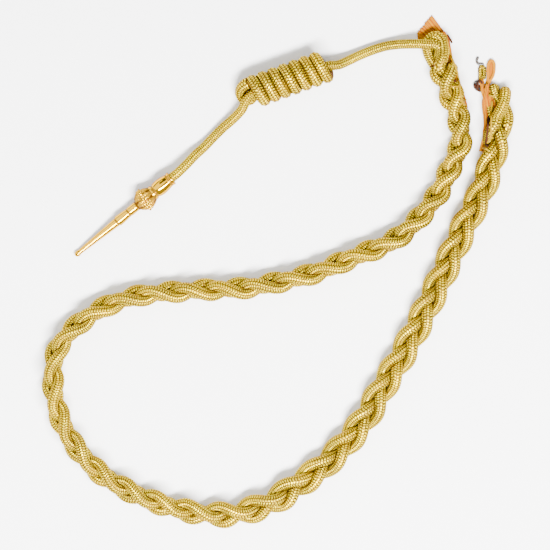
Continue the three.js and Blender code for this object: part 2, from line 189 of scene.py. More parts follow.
# Orange backing. The fan's threads run from its outer edge to where they gather. The bands
# follow the plait at shares of its length, tucked under it, and the fills close what is open
# between them and the plait.
FAN_THREADS = 24
FAN_LAYER = 0.55
FAN_BOW = 0.09
FAN_EDGE = [(90.8, 150.6), (90.3, 154.2), (99.7, 165.6)]
FAN_GATHER = [(98.5, 148.6), (104.5, 151), (107.5, 154.8)]
UPPER_BAND = [(106.6, 154.4), (109.8, 147.6), (110.9, 139.4)]
UPPER_FILL = [(108.4, 147), (109.2, 140), (110, 134.5), (112.4, 128)]
UPPER_SHARES = [0.006, 0.013, 0.02, 0.0285, 0.035]
UPPER_TUCK = 3
UPPER_INNER_TUCK = 4.8
RIGHT_FILL = [(134.6, 119), (136.4, 113), (137.4, 107), (137.2, 99)]
RIGHT_FILL_SHIFTS = (-2.4, 0, 1.2)
RIGHT_SHARES = [0.958, 0.97, 0.984, 0.997]
RIGHT_TUCKS = [3.6, 2.6, 1.4, 0.6]
RIGHT_INNER_TUCK = 2.4
BAND_THICKNESS = 2
BAND_HEIGHT = 7
BAND_THREADS = 21
FILL_THREADS = 12
THREAD_LOOP = [
    (134.2, 117.2), (134.9, 121.5), (135.4, 126), (135.3, 131), (136, 134.9), (137.6, 136.4),
    (139.2, 134.8), (139.4, 130), (138.3, 126), (136.4, 123.2), (135, 120.6),
]
LOOP_HEIGHT = 1.6
LOOP_PLIES = 7
LOOP_PLY = 0.34
LOOP_RADIUS = 0.62

# Threads that close the loop: the left edge of the web at three heights, and its width there
LOOP_WEB = [(135.9, 135.6, 0.6, 2.6), (135.6, 129, 0.8, 3.2), (135.2, 123.6, 0.6, 2.2)]
WEB_THREADS = 9
WEB_THREAD = 0.36

# Threads gathered between the stub and the plait: three places on their way, and how far they
# stray there across and along
GATHERED = [
    ((131.4, 124, 1.6), (-1.6, 1.6), (-2.4, 1)),
    ((132.2, 118.5, 3.4), (-1.2, 1.2), (-2, 1)),
    ((134.4, 110, 5.2), (-0.8, 0.6), (-4, 4)),
]
GATHERED_THREADS = 26
GATHERED_THREAD = 0.42

# How near to a neighbour a cord takes painted shade, and how finely it is drawn along its length
PRESSED_REACH = 1.1
RINGS_PER_STITCH = 5

# Doubled stub, the step from one of its limbs to the other, and the wire hooks' radius and
# courses
STUB = [
    (130.5, 124.2), (130.5, 130.6), (130.8, 131.8), (131.7, 132.35), (132.6, 131.8),
    (132.9, 130.6), (132.9, 124.2),
]
# The step sets the painted shade where the stub's two limbs lie against each other
STUB_LIMBS = np.array([2.4, 0, 0])
STUB_CORD = 2.6
STUB_HEIGHT = 1.25
HOOK_WIRE = 0.85
HOOK_HEIGHT = 0.6
HOOKS = {
    "upper": [(129.4, 138.9), (128.4, 136.7), (129, 134.6), (131, 134.1), (133, 134.2)],
    "lower": [(130.4, 123.3), (127.6, 122.6), (126.9, 120), (128.8, 117.8), (131, 118.6)],
}

# Stitches that hold the backing to the plait, and loose ends of thread: the least height at
# which each lies, and its course as seen from above. Each is two threads side by side that
# drape over the cords, levelled out over a number of points.
YELLOW_THREAD = 0.34
DARK_THREAD = 0.42
DRAPE = 9
YELLOW_STITCHES = [
    (7, [(108.3, 153), (110.7, 141), (112.2, 137), (114.4, 131.4), (116.4, 125.1),
         (116.9, 119.5), (118.3, 110.8), (120.2, 106.8)]),
    (7, [(111.4, 119.2), (118.6, 119.4)]),
    (7, [(116.6, 111.4), (121.8, 106.8)]),
    (7, [(121.6, 111.8), (116.4, 107)]),
    (7, [(104.4, 134.6), (109.6, 135.6)]),
    (7, [(135.6, 114.4), (139.6, 112.8)]),
    (7, [(137.8, 110.5), (136.9, 98.4), (136.4, 88.6), (133.4, 80.2)]),
    (7, [(135.2, 88.6), (138.6, 86.4)]),
    (7, [(131.6, 80.6), (134.8, 79.2)]),
]
DARK_STITCHES = [
    (4, [(109.4, 152.9), (110.8, 150.4), (112.6, 147.4)]),
    (3, [(129.2, 123.6), (130.9, 122.9), (132, 121.4)]),
    (2, [(128, 119.4), (129.2, 117.4), (130.8, 116.8)]),
    (2.6, [(126.4, 121.4), (127.6, 120.2), (129.6, 120.8)]),
    (1.4, [(127.2, 118.6), (128.6, 120.4), (130.4, 119.6)]),
    (3.4, [(128.6, 122.8), (129, 120.4), (128.2, 118.2)]),
    (7, [(113.4, 123.6), (114.2, 122)]),
    (7, [(135.2, 100.8), (134.9, 95), (134.4, 89.7), (134, 82.6)]),
    (7, [(134.2, 83.4), (134.8, 80.9)]),
]

# Stage, in metres from the middle of the view: each light with its place, its size and its
# share of the power, the dark card that the polished tag reflects, and the camera
FLOOR_SIZE = 6
FLOOR_DROP = 0.0002
LIGHTS = [
    ("light_above", (0.3, -0.7, 1.6), (1.3, 0.32), 1.0),
    ("light_beside", (-0.8, 0.6, 1.3), (2.0, 2.0), 0.15),
]
CARD_SIZE = 0.42
CARD_PLACE = (-0.16, 0.476, 0.37)
CARD_AIM = (-0.07, 0.061, 0)
VIEW_HEIGHT = 3.0
PART_MIDDLE = 0.006


def paint(*screen):
    """A colour given from 0 to 255 as a screen shows it, as the linear values Blender keeps."""
    shares = [value / 255 for value in screen]
    return tuple(s / 12.92 if s <= 0.04045 else ((s + 0.055) / 1.055)**2.4 for s in shares)


# Lines and their frames

def run_along(points):
    """The distance along the line to each of its points."""
    return np.concatenate([[0], np.cumsum(np.linalg.norm(np.diff(points, axis=0), axis=1))])


def evenly(points, step):
    """The same line with its points at even steps."""
    run = run_along(points)
    places = np.linspace(0, run[-1], max(2, int(round(run[-1] / step)) + 1))
    return np.stack([np.interp(places, run, points[:, axis]) for axis in range(3)], axis=1)


def flat(route, height=0.0):
    """A route seen from above, laid at one height."""
    return [(x, y, height) for x, y in route]


def smooth_line(points, step):
    """A centripetal spline through the points, with its own points at even steps."""
    places = np.array(points, float)
    ends = np.vstack([2 * places[0] - places[1], places, 2 * places[-1] - places[-2]])
    gaps = np.sqrt(np.linalg.norm(np.diff(ends, axis=0), axis=1))
    share = np.linspace(0, 1, 24, endpoint=False)[:, None]
    spans = []
    for i in range(len(places) - 1):
        before, start, stop, after = ends[i:i + 4]
        gap_in, gap, gap_out = gaps[i:i + 3]
        leave = (start - before) / gap_in - (stop - before) / (gap_in + gap) + (stop - start) / gap
        reach = (stop - start) / gap - (after - start) / (gap + gap_out) + (after - stop) / gap_out
        leave, reach = leave * gap, reach * gap
        square = -3 * start + 3 * stop - 2 * leave - reach
        cube = 2 * start - 2 * stop + leave + reach
        spans.append(start + leave * share + square * share**2 + cube * share**3)
    spans.append(places[-1:])
    return evenly(np.vstack(spans), step)


def directions(line):
    """The line's direction at each point."""
    along = np.gradient(line, axis=0)
    return along / np.linalg.norm(along, axis=1)[:, None]


def frames_along(line):
    """Two directions square to the line at each point, carried along it without twist."""
    along = directions(line)
    side = np.array([0, 0, 1.0]) if abs(along[0, 2]) < 0.9 else np.array([1.0, 0, 0])
    sides = np.empty_like(line)
    for i, way in enumerate(along):
        side = side - way * side.dot(way)
        side = side / math.sqrt(side.dot(side))
        sides[i] = side
    return sides, np.cross(along, sides)


def ring_directions(line, turn):
    """Unit directions from each of the line's points to a ring round it, at those angles."""
    out, up = frames_along(line)
    across, above = np.cos(turn)[None, :, None], np.sin(turn)[None, :, None]
    return across * out[:, None] + above * up[:, None]


def rounded_ends(line, radius):
    """Ring radii as shares of the full one, drawn in over both ends to round them."""
    run = run_along(line)
    reach = np.clip(1 - np.minimum(run, run[-1] - run) / radius, 0, 0.995)
    return np.sqrt(1 - reach**2)


# The plait's shape

def plait_at(along, column):
    """One of the plait's shares at a share of its length, between its sections."""
    return np.interp(along, PLAIT_SECTIONS[:, 0], PLAIT_SECTIONS[:, column])


def plait_offset(phase, along):
    """How far a plait cord lies to the left of the plait's middle line, and above it."""
    roll = np.radians(plait_at(along, ROLL))
    side_wave = (np.sin(phase) + SWING_FULLNESS * np.sin(3 * phase)) / (1 - SWING_FULLNESS)
    depth_wave = np.sin(2 * phase) + DIP_FULLNESS * np.sin(4 * phase)
    side = SWING * plait_at(along, SWING_SHARE) * side_wave
    height = -DIP * plait_at(along, DIP_SHARE) * depth_wave
    left = side * np.cos(roll) - height * np.sin(roll) + plait_at(along, SHIFT)
    up = side * np.sin(roll) + height * np.cos(roll)
    return left, up


def plait_reach(along, way, sign):
    """How far the plait reaches from its middle line: way 0 is left and 1 is up."""
    turns = np.radians(np.arange(0, 360, 5))
    reach = [sign * plait_offset(turn, along)[way] for turn in turns]
    return np.max(reach, axis=0) + PLAIT_CORD / 2


plait_line = smooth_line(flat(PLAIT_ROUTE), 0.4)
plait_ways = directions(plait_line)
plait_shares = np.linspace(0, 1, len(plait_line))
plait_length = run_along(plait_line)[-1]
phase_rows = 1000
row_middles = (np.arange(phase_rows) + 0.5) / phase_rows
turn_lengths = PLAIT_LAY * plait_at(row_middles, LAY_SHARE)
turn_per_row = 2 * math.pi * plait_length / (phase_rows * turn_lengths)
phases = math.radians(PLAIT_START) + np.concatenate([[0], np.cumsum(turn_per_row)])


def beside_plait(along, left, up):
    """Places to the left of the plait's middle line, at heights above the surface."""
    place = [np.interp(along, plait_shares, plait_line[:, axis]) for axis in (0, 1)]
    way = [np.interp(along, plait_shares, plait_ways[:, axis]) for axis in (0, 1)]
    return np.stack([place[0] - way[1] * left, place[1] + way[0] * left, up], axis=-1)


def strand_line(index, step):
    """The middle line of one cord of the plait, with its way in and its way out."""
    way_in, leaves_at, way_out = STRANDS[index][1:]
    lag = math.radians(120 * index)
    first = phases[0] + lag
    last = phases[round(phase_rows * leaves_at)] + lag
    step_turn = math.radians(20)
    turns = np.arange(math.ceil(first / step_turn), last / step_turn) * step_turn
    turns = turns[(turns > first + 0.2) & (turns < last - 0.2)]
    turns = np.concatenate([[first], turns, [last]])
    along = np.interp(turns - lag, phases, np.linspace(0, 1, phase_rows + 1))
    left, up = plait_offset(turns, along)
    plaited = beside_plait(along, left, plait_reach(along, 1, -1) + up)
    return smooth_line([*way_in, *plaited.tolist(), *way_out], step)


def in_knot(along, left, up):
    """A place given along the knot, to its left and above the surface."""
    cos, sin = math.cos(KNOT_HEADING), math.sin(KNOT_HEADING)
    x = KNOT_CENTRE[0] + cos * along - sin * left
    y = KNOT_CENTRE[1] + sin * along + cos * left
    return np.stack([x, y, np.broadcast_to(up, np.shape(x))], axis=-1)


def knot_line(step):
    """The middle line of the cord wound round the knot."""
    turns = KNOT_TURNS * np.linspace(0, 1, KNOT_TURNS * 60 + 1) - KNOT_START
    angle = 2 * math.pi * turns
    left = KNOT_RADIUS * np.cos(angle)
    up = KNOT_CENTRE[2] + KNOT_RADIUS * np.sin(angle)
    return evenly(in_knot(KNOT_PITCH * (turns - (KNOT_TURNS - 1) / 2), left, up), step)


# The tag's axis: it rests on its tip and its knob
tip_place = TIP_SHARE * TAG_LENGTH
tag_rise = math.asin((TAG_KNOB - TAG_TIP) / (KNOB_SHARE * TAG_LENGTH - tip_place))
tag_axis = np.array([
    math.cos(tag_rise) * math.cos(TAG_HEADING),
    math.cos(tag_rise) * math.sin(TAG_HEADING),
    math.sin(tag_rise),
])
tag_right = np.array([math.sin(TAG_HEADING), -math.cos(TAG_HEADING), 0])
tag_up = np.cross(tag_right, tag_axis)
mouth_height = TAG_TIP / math.cos(tag_rise) + (TAG_LENGTH - tip_place) * tag_axis[2]
tag_mouth = np.array([*TAG_MOUTH, mouth_height])


def drop_cord_line(step):
    """The middle line of the single cord, down into the tag's socket."""
    inside = [tag_mouth + tag_axis * outwards for outwards in (4.5, 0, 0.3 - SOCKET_DEPTH)]
    return smooth_line([*DROP_CORD, *[tuple(place) for place in inside]], step)


# Meshes

class Shell:
    """Gathers swept rings and turns them into one mesh object."""

    def __init__(self):
        self.points, self.corners, self.counts, self.places, self.tones_and_shades = [], [], [], [], []
        self.size = 0

    def sweep(self, rings, along, around=1.0, tone_and_shade=0.0):
        """Adds closed rings of points, capped at both ends, from a rows by sides by 3 array.
        The tint, painted shade on cords and on the tag and each thread's own tone on threads, is
        one value, or one for each point."""
        rows, sides = rings.shape[:2]
        row, side = np.meshgrid(np.arange(rows - 1), np.arange(sides), indexing="ij")
        after = (side + 1) % sides
        quads = np.stack([row * sides + side, row * sides + after,
                          (row + 1) * sides + after, (row + 1) * sides + side], axis=-1)
        turn = np.stack([side, side + 1, side + 1, side], axis=-1) * around / sides
        run = np.stack([along[row], along[row], along[row + 1], along[row + 1]], axis=-1)
        first = np.arange(sides)[::-1]
        last = np.arange(sides) + (rows - 1) * sides
        self.corners += [quads.ravel() + self.size, first + self.size, last + self.size]
        self.counts += [np.full((rows - 1) * sides, 4), np.array([sides, sides])]
        ends = [np.full((sides, 2), along[0]), np.full((sides, 2), along[-1])]
        self.places += [np.stack([turn.ravel(), run.ravel()], axis=1), *ends]
        self.points.append(rings.reshape(-1, 3))
        self.tones_and_shades.append(np.broadcast_to(tone_and_shade, rows * sides))
        self.size += rows * sides

    def tube(self, line, radius, sides=6, tone_and_shade=0.0):
        """Adds a round tube along a line in millimetres."""
        ring = ring_directions(line, 2 * np.pi * np.arange(sides) / sides)
        size = radius * rounded_ends(line, radius)[:, None, None]
        self.sweep(line[:, None] + size * ring, run_along(line), tone_and_shade=tone_and_shade)

    def make(self, name, material, slot, *nodes):
        """The mesh object, which rides on the frame and stands for these CAD nodes."""
        mesh = bpy.data.meshes.new(name)
        points = np.concatenate(self.points) * MM + view_middle
        corners, counts = np.concatenate(self.corners), np.concatenate(self.counts)
        mesh.vertices.add(len(points))
        mesh.vertices.foreach_set("co", points.astype(np.float32).ravel())
        mesh.loops.add(len(corners))
        mesh.loops.foreach_set("vertex_index", corners.astype(np.int32))
        mesh.polygons.add(len(counts))
        starts = np.concatenate([[0], np.cumsum(counts)[:-1]])
        mesh.polygons.foreach_set("loop_start", starts.astype(np.int32))
        mesh.polygons.foreach_set("use_smooth", np.ones(len(counts), bool))
        layer = mesh.uv_layers.new(name="along")
        layer.data.foreach_set("uv", np.concatenate(self.places).astype(np.float32).ravel())
        tones_and_shades = mesh.attributes.new("tone_and_shade", "FLOAT", "POINT")
        tones_and_shades.data.foreach_set("value", np.concatenate(self.tones_and_shades).astype(np.float32))
        mesh.update(calc_edges=True)
        mesh.validate()
        mesh.materials.append(material)
        piece = bpy.data.objects.new(name, mesh)
        bpy.context.scene.collection.objects.link(piece)
        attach(piece, "root")
        if nodes:
            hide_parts(*nodes)
        return piece


def pressed(places, neighbours, radius):
    """How near each place lies to a neighbouring cord, which sets the cord's painted shade: 0 well
    clear of it, 1 inside its skin.
    """
    if not neighbours:
        return 0.0
    line = np.concatenate(neighbours)
    tree = KDTree(len(line))
    for i, place in enumerate(line.tolist()):
        tree.insert(place, i)
    tree.balance()
    gaps = np.array([tree.find(place)[2] for place in places.tolist()]) - radius
    return np.clip(1 - gaps / PRESSED_REACH, 0, 1)


def knitted_tube(line, diameter, settings, neighbours=(), next_turn=None):
    """A cord's knitted cover: lengthwise ridges of small stitches.
    Shade is painted on it against its neighbours, and against its own next turn where it is wound."""
    line = evenly(line, settings.stitch_pitch / MM / RINGS_PER_STITCH)
    column = np.arange(2 * settings.ridges)
    stitches = np.arange(len(line)) / RINGS_PER_STITCH
    beat = np.cos(2 * np.pi * (stitches[:, None] + 0.3 * (column // 2 % 2)))
    crest = column % 2 == 1
    groove, relief = settings.groove_depth / MM, settings.stitch_relief / MM
    reach = diameter / 2 - groove * ~crest + relief * beat * crest
    size = reach * rounded_ends(line, diameter / 2)[:, None]
    offsets = size[:, :, None] * ring_directions(line, np.pi * column / settings.ridges)
    rings = line[:, None] + offsets
    tone_and_shade = pressed(rings.reshape(-1, 3), neighbours, diameter / 2)
    if next_turn is not None:
        gaps = [np.linalg.norm(offsets + way, axis=2).ravel() for way in (next_turn, -next_turn)]
        gaps = np.min(gaps, axis=0) - diameter / 2
        tone_and_shade = np.maximum(tone_and_shade, np.clip(1 - gaps / PRESSED_REACH, 0, 1))
    shell = Shell()
    shell.sweep(rings, stitches, around=settings.ridges, tone_and_shade=tone_and_shade)
    return shell


# Materials

class Value:
    """A node's output, on which Python's operators build with Math nodes."""

    def __init__(self, shader, socket):
        self.shader = shader
        self.socket = socket

    def math(self, operation, *terms):
        """This value and the terms, in that order, through one Math node."""
        sockets = dict(enumerate((self, *terms)))
        return self.shader.node("ShaderNodeMath", {"operation": operation}, sockets)

    def __add__(self, other):
        return self.math("ADD", other)

    def __sub__(self, other):
        return self.math("SUBTRACT", other)

    def __mul__(self, other):
        return self.math("MULTIPLY", other)

    def __rsub__(self, other):
        sockets = {0: other, 1: self}
        return self.shader.node("ShaderNodeMath", {"operation": "SUBTRACT"}, sockets)

    __radd__ = __add__
    __rmul__ = __mul__


class Shader:
    """A material, its surface's constants, and the nodes that feed the rest."""

    def __init__(self, name, **constants):
        self.material = bpy.data.materials.new(name)
        self.material.use_nodes = True
        self.tree = self.material.node_tree
        self.surface = self.tree.nodes["Principled BSDF"]
        for key, value in constants.items():
            self.feed(key.replace("_", " ").title().replace("Ior", "IOR"), value)

    def join(self, socket, value):
        """Links a socket to a value of the shader's nodes, or sets it to a constant."""
        if isinstance(value, Value):
            self.tree.links.new(value.socket, socket)
        else:
            socket.default_value = value

    def feed(self, name, value):
        """Gives one of the surface's inputs a constant or a link."""
        self.join(self.surface.inputs[name], value)

    def node(self, kind, settings, sockets, output=0):
        """A node of that type with its settings, then its sockets' values or links."""
        node = self.tree.nodes.new(kind)
        for name, value in settings.items():
            setattr(node, name, value)
        for name, value in sockets.items():
            self.join(node.inputs[name], value)
        return Value(self, node.outputs[output])

    def mix(self, share, first, second):
        """A colour between two, given as three values or as links."""
        ends = [c if isinstance(c, Value) else (*c, 1.0) for c in (first, second)]
        sockets = {0: share, 6: ends[0], 7: ends[1]}
        return self.node("ShaderNodeMix", {"data_type": "RGBA"}, sockets, output=2)

    def ramp(self, value, low, high):
        """0 below low, 1 above high, and smooth between them."""
        sockets = {"Value": value, "From Min": low, "From Max": high}
        return self.node("ShaderNodeMapRange", {"interpolation_type": "SMOOTHSTEP"}, sockets)

    def noise(self, scale, detail=2.0):
        """Noise through the object's own space."""
        sockets = {
            "Vector": self.node("ShaderNodeTexCoord", {}, {}, "Object"),
            "Scale": scale,
            "Detail": detail,
        }
        return self.node("ShaderNodeTexNoise", {}, sockets)

    def tone_and_shade(self):
        """The mesh's own tint, a value at each of its points: painted shade on cords and on the
        tag, each thread's own tone on threads.
        """
        return self.node("ShaderNodeAttribute", {"attribute_name": "tone_and_shade"}, {}, "Fac")

    def bump(self, height, distance):
        """Raises the surface by a height from 0 to 1, times the distance."""
        sockets = {"Height": height, "Distance": distance, "Strength": 1.0}
        self.feed("Normal", self.node("ShaderNodeBump", {}, sockets))


def along_and_around(shader):
    """The mesh's own map: how far round a cord and how far along it."""
    place = shader.node("ShaderNodeUVMap", {"uv_map": "along"}, {})
    return (shader.node("ShaderNodeSeparateXYZ", {}, {0: place}, axis) for axis in ("X", "Y"))


def cord_material(settings):
    """Knitted gilt wire: painted highlights on its stitches over olive gold, painted shade in the
    lines between ridges and stitches, and painted shade where cords lie against each other.
    """
    edge = (0.3, 0.17, 0.02, 1)
    shader = Shader("knitted gold cord", metallic=0.8, specular_ior_level=0.1, specular_tint=edge)
    around, along = along_and_around(shader)
    across = around.math("FRACT") - 0.5
    from_middle = across.math("ABSOLUTE") * 2
    ridge = shader.ramp(1 - from_middle, 0.02, 0.5)
    beside = (around.math("FLOOR") * 0.5).math("FRACT")
    beat = along + beside * 0.6 + across * (1 - beside * 4) * 0.3
    wave = shader.ramp((beat * (2 * math.pi)).math("COSINE") * 0.5 + 0.5, 0.25, 0.8)
    cell = shader.node("ShaderNodeCombineXYZ", {}, {
        0: (around * 2).math("FLOOR"), 1: beat.math("FLOOR"),
    })
    chance = shader.node("ShaderNodeTexWhiteNoise", {"noise_dimensions": "2D"}, {"Vector": cell})
    patches = shader.ramp(shader.noise(60.0), 0.35, 0.65)
    ground = shader.mix(patches, settings.shade_colour, settings.gold_colour)
    # Painted highlight on the stitches' crests, brighter on some stitches than others at random
    lit = shader.mix(ridge * wave * (chance * 0.85 + 0.15), ground, settings.highlight_colour)
    # Painted shade in the lines between ridges and between stitches
    lines = (1 - ridge) * 0.95 + ridge * (1 - wave) * (chance * 0.4 + 0.55)
    groove_shaded = shader.mix(lines, lit, settings.groove_shade_colour)
    # Painted shade where the cord lies against other cords and against its own next turn
    crevice_shade = shader.ramp(shader.tone_and_shade(), 0.1, 0.95)
    shader.feed("Base Color", shader.mix(crevice_shade * 0.85, groove_shaded, settings.crevice_shade_colour))
    shader.feed("Roughness", 0.42 - ridge * wave * 0.12)
    wires = (beat * (10 * math.pi)).math("SINE") * 0.12
    shader.bump(wave * ridge + wires, 0.16 * MM)
    return shader.material


def tag_material(settings):
    """Polished gilt: a pale gold mirror with faint swirls and a trace of wear, with painted shade
    in its recesses and grooves and on its downward-facing sides.
    """
    shader = Shader("polished gilt", specular_ior_level=0.1, specular_tint=(0.35, 0.16, 0.03, 1))
    stain = shader.ramp(shader.noise(55.0, 4.0), 0.4, 0.75)
    polish = shader.mix(stain, settings.metal_colour, settings.metal_shade)
    # Painted shade on the downward-facing sides and in the recesses and grooves the mesh marks;
    # the shaded parts are also less metallic and rougher
    facing = shader.node("ShaderNodeTexCoord", {}, {}, "Normal")
    height = shader.node("ShaderNodeSeparateXYZ", {}, {0: facing}, "Z")
    below = shader.ramp(1 - height, 0.4, 0.95)
    dull = shader.tone_and_shade().math("MAXIMUM", below * 0.8)
    shader.feed("Base Color", shader.mix(dull, polish, settings.recess_shade_colour))
    shader.feed("Metallic", 1 - dull * 0.8)
    worn = shader.noise(220.0, 3.0) * 0.06
    shader.feed("Roughness", worn + settings.metal_roughness + dull * 0.2)
    shader.bump(shader.noise(900.0, 2.0), 0.006 * MM)
    return shader.material


def thread_material(name, colour, deep_colour, roughness=0.5):
    """Silk thread: each one its own tone, with the twist's fine slanting lines and painted shade
    in their grooves.
    """
    shader = Shader(name, specular_ior_level=0.02)
    around, along = along_and_around(shader)
    twist = ((along * 4.5 + around * 2) * (2 * math.pi)).math("SINE") * 0.5 + 0.5
    own_colour = shader.mix(shader.tone_and_shade(), colour, deep_colour)
    # Painted shade in the twist's grooves
    shader.feed("Base Color", shader.mix((1 - twist) * 0.3, own_colour, deep_colour))
    shader.feed("Roughness", twist * 0.1 + roughness)
    shader.bump(twist, 0.05 * MM)
    return shader.material


def wire_material(settings):
    """Dull grey wire, tarnished brown in patches."""
    shader = Shader("dull wire", metallic=0.5)
    tarnish = shader.ramp(shader.noise(700.0, 3.0), 0.45, 0.6)
    shader.feed("Base Color", shader.mix(tarnish, settings.wire_colour, settings.tarnish_colour))
    shader.feed("Roughness", tarnish * 0.3 + 0.3)
    shader.bump(shader.noise(1800.0), 0.03 * MM)
    return shader.material


# Settings

def length(name, description, default):
    """A length that is kept in metres, with its default in millimetres."""
    return FloatProperty(
        name=name, description=description, default=default * MM, subtype="DISTANCE",
        unit="LENGTH", precision=5,
    )


def colour(name, description, default):
    """A colour kept as linear values."""
    return FloatVectorProperty(
        name=name, description=description, default=default, subtype="COLOR", size=3,
        min=0, max=1,
    )


class CordSettings(bpy.types.PropertyGroup):
    plait_diameter: length("Plait cord", "Thickness of the plait's cords", 7.5)
    drop_diameter: length("Drop cord", "Thickness of the single cord", 6.2)
    knot_diameter: length("Knot cord", "Thickness of the knot's cord", 7.7)
    ridges: IntProperty(name="Ridges", description="Knitted ridges round a cord", default=10,
                        min=6, max=16)
    stitch_pitch: length("Stitch", "Length of one stitch along a cord", 1.4)
    stitch_relief: length("Stitch relief", "How far a stitch stands out", 0.13)
    groove_depth: length("Groove", "Depth of the lines between ridges", 0.3)
    gold_colour: colour("Gold", "The cord's own gold", paint(202, 160, 0))
    shade_colour: colour("Shade", "Its duller patches", paint(160, 128, 36))
    # Painted highlight on the stitches' crests
    highlight_colour: colour("Light", "Its brightest stitches", paint(255, 232, 16))
    # Painted shade between ridges and stitches
    groove_shade_colour: colour("Gaps", "Between ridges and stitches", paint(58, 38, 8))
    # Painted shade where cords lie against each other
    crevice_shade_colour: colour("Crevices", "Where cords lie against each other", paint(58, 28, 12))


class TagSettings(bpy.types.PropertyGroup):
    metal_colour: colour("Metal", "Polished gilt", paint(208, 160, 14))
    metal_shade: colour("Stain", "Its deeper patches", paint(190, 134, 8))
    # Painted shade: between leaves, in grooves and on downward-facing sides
    recess_shade_colour: colour("Recesses", "Between leaves, in grooves and below", paint(66, 36, 4))
    metal_roughness: FloatProperty(name="Roughness", description="Of the polish", default=0.06,
                                   min=0, max=1, subtype="FACTOR")
    leaves: IntProperty(name="Leaves", description="In each ring round the knob", default=7,
                        min=4, max=12)
    leaf_relief: length("Leaf relief", "How far the leaves stand out", 2.6)


class ThreadSettings(bpy.types.PropertyGroup):
    thickness: length("Thread", "Thickness of one thread", 0.8)
    orange_colour: colour("Orange", "The backing's threads", paint(176, 120, 0))
    deep_colour: colour("Deep orange", "Its darker threads", paint(148, 70, 0))
    yellow_colour: colour("Yellow", "The stitches", paint(160, 130, 0))
    yellow_shade: colour("Yellow shade", "Their darker parts", paint(122, 84, 0))
    dark_colour: colour("Dark", "Ends of dark thread", paint(58, 26, 12))
    wire_colour: colour("Wire", "The hooks", paint(74, 76, 74))
    tarnish_colour: colour("Tarnish", "On the hooks", paint(60, 40, 30))


class StageSettings(bpy.types.PropertyGroup):
    floor_colour: colour("Floor", "Of the surface below", paint(246, 246, 246))
    light_power: FloatProperty(name="Light", description="Of the light above", default=248.0,
                               min=0, subtype="POWER", unit="POWER")
    surround: FloatProperty(name="Surround", description="Strength of the light all round",
                            default=0.8, min=0, max=10)
    view_width: length("View width", "What the view shows from side to side", 349.25)


def resting_height(x, y, lines, radius):
    """The height of the topmost cord above a place seen from above, or 0 beside them all."""
    top = 0.0
    for line in lines:
        gap = (line[:, 0] - x)**2 + (line[:, 1] - y)**2
        near = gap < radius**2
        if near.any():
            top = max(top, (line[near, 2] + np.sqrt(radius**2 - gap[near])).max())
    return top


def spread(route, offsets):
    """The line moved to its left and up, by a pair of distances for each of its points."""
    ways = directions(route)
    left = np.stack([-ways[:, 1], ways[:, 0], np.zeros(len(ways))], axis=1)
    return route + left * offsets[:, :1] + np.array([0, 0, 1.0]) * offsets[:, 1:]


def band_threads(shell, route, settings, chance, count):
    """Loose threads side by side and one above another, wandering along a band."""
    line = smooth_line(flat(route), 0.6)
    radius = settings.thickness / MM / 2
    run = np.linspace(0, 1, len(line))
    ends = np.minimum(1, np.minimum(run, 1 - run) * 12)
    for i in range(count):
        side = (i % 3 - 1) * BAND_THICKNESS * 0.42
        level = radius + (BAND_HEIGHT - 2 * radius) * (i // 3) / (count // 3)
        drift = chance.uniform(-0.35, 0.35, 2)
        beat = chance.uniform(1, 3, 2)
        start = chance.uniform(0, 2 * math.pi, 2)
        wander = 0.28 * np.sin(2 * np.pi * beat * run[:, None] + start) + drift * 0.5
        height = np.maximum(level + wander[:, 1] * ends, radius)
        offsets = np.stack([side + wander[:, 0], height], axis=1)
        shell.tube(spread(line, offsets), radius, tone_and_shade=chance.choice([0.0, 0.25, 0.5, 1.3]))


def band_beside(along, tuck):
    """A place on a band that hugs the plait's left side, tucked this far under it."""
    reach = plait_reach(along, 0, 1) + 0.3 + BAND_THICKNESS / 2
    return tuple(beside_plait(along, reach - tuck, 0.0)[:2])


# Operators

class AIGUILLETTE_OT_plait(bpy.types.Operator):
    """Draws the three cords of the plait, with the end loop"""
    bl_idname = "aiguillette.plait"
    bl_label = "Plait"

    def execute(self, context):
        settings = context.scene.aiguillette_cord
        material = cord_material(settings)
        lines = [strand_line(index, 0.3) for index in range(len(STRANDS))]
        for index, line in enumerate(lines):
            others = lines[:index] + lines[index + 1:]
            shell = knitted_tube(line, settings.plait_diameter / MM, settings, others)
            node = STRANDS[index][0]
            shell.make(node.replace("strand", "cord"), material, "gold_cord", node)
        return {"FINISHED"}


